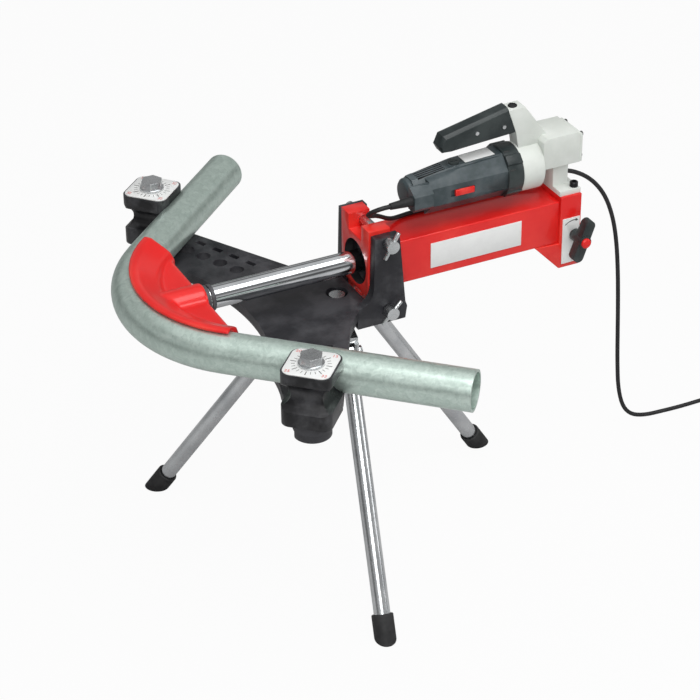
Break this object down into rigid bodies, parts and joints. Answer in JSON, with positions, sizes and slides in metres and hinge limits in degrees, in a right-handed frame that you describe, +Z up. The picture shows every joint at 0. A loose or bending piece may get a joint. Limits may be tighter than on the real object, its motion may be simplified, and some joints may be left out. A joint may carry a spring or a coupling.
{
  "type": "hydraulic pipe bender",
  "caption": "Hydraulic pipe bender on a folding tripod: electric pump and ram push a grooved former against a pipe held between two pinned rollers on a forked plate.",
  "frame": {"origin": "on the floor, below the middle of the machine's box without its lead", "axes": "+X along the ram from the former to the pump, +Y away from the lock pins' handles, +Z up"},
  "size_m": [1.1511, 0.7916, 0.6648],
  "materials": {
    "cast_black": "satin",
    "signal_red": "gloss",
    "zinc": "galvanised",
    "chrome": "polished",
    "pump_grey": "satin",
    "motor_grey": "matte",
    "black_plastic": "matte",
    "rubber": "matte",
    "label": "satin",
    "red_plastic": "gloss",
    "steel": "satin",
    "winding": "satin",
    "fan": "matte"
  },
  "bodies": {
    "machine": {"bending_frame": "cast_black", "tripod_hub": "zinc", "hub_bolts": "steel", "cylinder_head": "signal_red", "cylinder_body": "signal_red", "gland_bush": "cast_black", "valve_block": "signal_red", "valve_plate": "label", "name_plate": "label", "pump_base": "pump_grey", "pump_screws": "steel", "pump_housing": "pump_grey", "pump_end_cover": "pump_grey", "gear_housing": "pump_grey", "handle_bracket": "pump_grey", "grip": "black_plastic", "grip_screws": "steel", "motor_flange": "black_plastic", "motor_housing": "motor_grey", "motor_end_cap": "motor_grey", "stator": "steel", "brush_caps": "black_plastic", "motor_plate": "label", "motor_bearings": "steel", "cord_boot": "rubber", "cord_run": "rubber", "cord_coil": "rubber", "power_plug": "rubber", "roller_pins": "steel"},
    "ram": {"ram_rod": "chrome", "piston": "steel", "piston_seal": "rubber", "nose_collar": "cast_black", "former": "signal_red", "pipe": "zinc"},
    "front_roller": {"front_roller": "cast_black", "front_scale_plate": "label"},
    "back_roller": {"back_roller": "cast_black", "back_scale_plate": "label"},
    "upper_lock_pin": {"upper_lock_pin": "zinc", "upper_tommy_bar": "zinc"},
    "lower_lock_pin": {"lower_lock_pin": "zinc", "lower_tommy_bar": "zinc"},
    "leg_back": {"leg_back": "zinc", "foot_back": "rubber"},
    "leg_left": {"leg_left": "zinc", "foot_left": "rubber"},
    "leg_front": {"leg_front": "zinc", "foot_front": "rubber"},
    "release_valve": {"release_spindle": "steel", "release_knob": "black_plastic", "knob_cap": "red_plastic"},
    "switch": {"switch_button": "red_plastic"},
    "armature": {"armature": "winding", "cooling_fan": "fan"},
    "eccentric": {"eccentric_shaft": "steel", "drive_gear": "steel"},
    "plunger": {"pump_plunger": "steel"}
  },
  "joints": [
    {"name": "ram_slide", "type": "slide", "parent": "machine", "child": "ram", "axis": [1, 0, 0], "range_m": [0, 0.15]},
    {"name": "front_roller_turn", "type": "hinge", "parent": "machine", "child": "front_roller", "pos_m": [-0.20795, -0.2642, 0.463], "axis": [0, 0, 1], "range_deg": [-46.5, 0]},
    {"name": "back_roller_turn", "type": "hinge", "parent": "machine", "child": "back_roller", "pos_m": [-0.20795, 0.3058, 0.463], "axis": [0, 0, 1], "range_deg": [0, 46.5]},
    {"name": "upper_lock_pin_pull", "type": "slide", "parent": "machine", "child": "upper_lock_pin", "axis": [0, -1, 0], "range_m": [0, 0.132]},
    {"name": "lower_lock_pin_pull", "type": "slide", "parent": "machine", "child": "lower_lock_pin", "axis": [0, -1, 0], "range_m": [0, 0.132]},
    {"name": "leg_back_fold", "type": "hinge", "parent": "machine", "child": "leg_back", "pos_m": [0.03764, 0.04099, 0.356], "axis": [-0.2823, 0.9593, 0], "range_deg": [0, 34]},
    {"name": "leg_left_fold", "type": "hinge", "parent": "machine", "child": "leg_left", "pos_m": [-0.08273, 0.07011, 0.356], "axis": [-0.6896, -0.7242, 0], "range_deg": [0, 34]},
    {"name": "leg_front_fold", "type": "hinge", "parent": "machine", "child": "leg_front", "pos_m": [-0.04776, -0.04869, 0.356], "axis": [0.972, -0.2351, 0], "range_deg": [0, 34]},
    {"name": "release_valve_turn", "type": "hinge", "parent": "machine", "child": "release_valve", "pos_m": [0.35505, -0.0392, 0.441], "axis": [0, -1, 0], "range_deg": [0, 270]},
    {"name": "switch_slide", "type": "slide", "parent": "machine", "child": "switch", "axis": [-1, 0, 0], "range_m": [0, 0.006]},
    {"name": "motor_spin", "type": "hinge", "parent": "machine", "child": "armature", "pos_m": [0.16905, 0.0208, 0.558], "axis": [1, 0, 0], "continuous": true},
    {"name": "eccentric_spin", "type": "hinge", "parent": "machine", "child": "eccentric", "pos_m": [0.31905, 0.0208, 0.577], "axis": [1, 0, 0], "continuous": true},
    {"name": "plunger_stroke", "type": "slide", "parent": "machine", "child": "plunger", "axis": [0, 0, -1], "range_m": [0, 0.006], "stiffness_N_per_m": 400}
  ],
  "couplings": [
    {"joint": "front_roller_turn", "follows": "ram_slide", "rad_per_m": -5.3523},
    {"joint": "back_roller_turn", "follows": "ram_slide", "rad_per_m": 5.3523},
    {"joint": "eccentric_spin", "follows": "motor_spin", "ratio": -0.41985}
  ]
}
